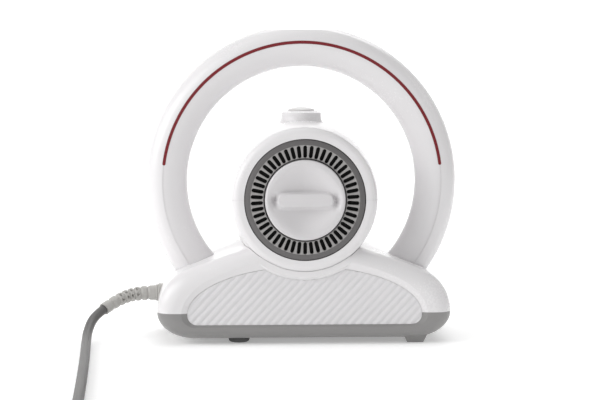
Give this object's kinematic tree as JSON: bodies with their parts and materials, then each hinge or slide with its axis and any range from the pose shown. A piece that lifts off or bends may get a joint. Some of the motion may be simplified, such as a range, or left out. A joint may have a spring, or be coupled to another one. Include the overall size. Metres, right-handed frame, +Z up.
{
  "type": "boot dryer",
  "caption": "Free-standing warm-air boot and glove dryer: a round fan-heater hub on an arched base, under a ring handle, with a timer dial and two air outlets.",
  "frame": {"origin": "on the floor, under the middle of the appliance without its cord", "axes": "+X to the right seen from the dial's side, +Y to the back, towards the air outlets, +Z up"},
  "size_m": [0.2867, 0.5655, 0.2363],
  "materials": {
    "white_shell": "smooth moulded ABS, satin gloss, slightly warm white",
    "grey_pan": "smooth moulded ABS, mid grey",
    "ribbed_white": "fine moulded ribs, matt white",
    "red_strip": "deep red inlaid strip",
    "crown_grey": "smooth pale grey plate",
    "lens": "smoked indicator lens, unlit",
    "grille_grey": "moulded grille, mid grey, fine texture",
    "filter_foam": "open-cell foam sheet, black",
    "dial_white": "moulded dial, matt off-white",
    "button_white": "moulded button, satin off-white",
    "inner_plastic": "black structural plastic",
    "steel": "zinc-plated steel",
    "heater_card": "heat-resistant board, tan",
    "ceramic": "heating ceramic, cream",
    "fin_aluminium": "corrugated heater fins",
    "circuit_board": "green circuit board",
    "wire_black": "insulated wire",
    "foot_rubber": "soft dark rubber foot",
    "cord_grey": "flexible PVC, satin mid grey",
    "collar_grey": "moulded collar, grey",
    "tie_black": "soft storage tie, black",
    "pin_brass": "nickel-plated brass pins"
  },
  "bodies": {
    "root": {"accent_strip_front": "red_strip", "accent_strip_rear": "red_strip", "base_housing": "white_shell", "base_pan": "grey_pan", "board_components": "inner_plastic", "board_screws": "steel", "button_spring": "steel", "button_switch": "inner_plastic", "control_board": "circuit_board", "cord_clamp": "inner_plastic", "cord_coil": "cord_grey", "cord_collar": "collar_grey", "cord_tail": "cord_grey", "cord_tie": "tie_black", "cradle_screws": "steel", "crown_plate": "crown_grey", "dust_filter": "filter_foam", "fan_duct": "inner_plastic", "fan_motor": "steel", "front_panel": "ribbed_white", "harness": "wire_black", "heater_ceramics": "ceramic", "heater_fins": "fin_aluminium", "heater_frame": "heater_card", "hub_lower_shell": "white_shell", "hub_screws": "steel", "hub_upper_shell": "white_shell", "indicator_lenses": "lens", "inner_lead": "cord_grey", "intake_grille": "grille_grey", "mains_wires": "wire_black", "motor_screws": "steel", "outlet_guards": "grille_grey", "pan_screws": "steel", "plug_body": "cord_grey", "plug_pins": "pin_brass", "power_cord": "cord_grey", "rear_cover": "grille_grey", "rear_panel": "ribbed_white", "ring_inner_band": "white_shell", "ring_outer_band": "white_shell", "rubber_feet": "foot_rubber", "strain_relief": "cord_grey", "switch_board": "circuit_board", "terminal_block": "inner_plastic", "thermal_cutout": "steel", "timer_body": "inner_plastic", "timer_spider": "inner_plastic"},
    "dial": {"timer_dial": "dial_white", "timer_spindle": "steel"},
    "fan": {"motor_shaft": "steel", "impeller": "inner_plastic"},
    "button": {"push_button": "button_white"}
  },
  "joints": [
    {"name": "dial_turn", "type": "hinge", "parent": "root", "child": "dial", "pos_m": [0, 0, 0.109], "axis": [0, 1, 0], "range_deg": [0, 300]},
    {"name": "fan_spin", "type": "hinge", "parent": "root", "child": "fan", "pos_m": [0, 0, 0.109], "axis": [0, 1, 0], "continuous": true},
    {"name": "button_press", "type": "slide", "parent": "root", "child": "button", "axis": [0, 0, -1], "range_m": [0, 0.002], "stiffness_N_per_m": 900, "springref_m": -0.0015, "deforming": ["button_spring"]}
  ]
}
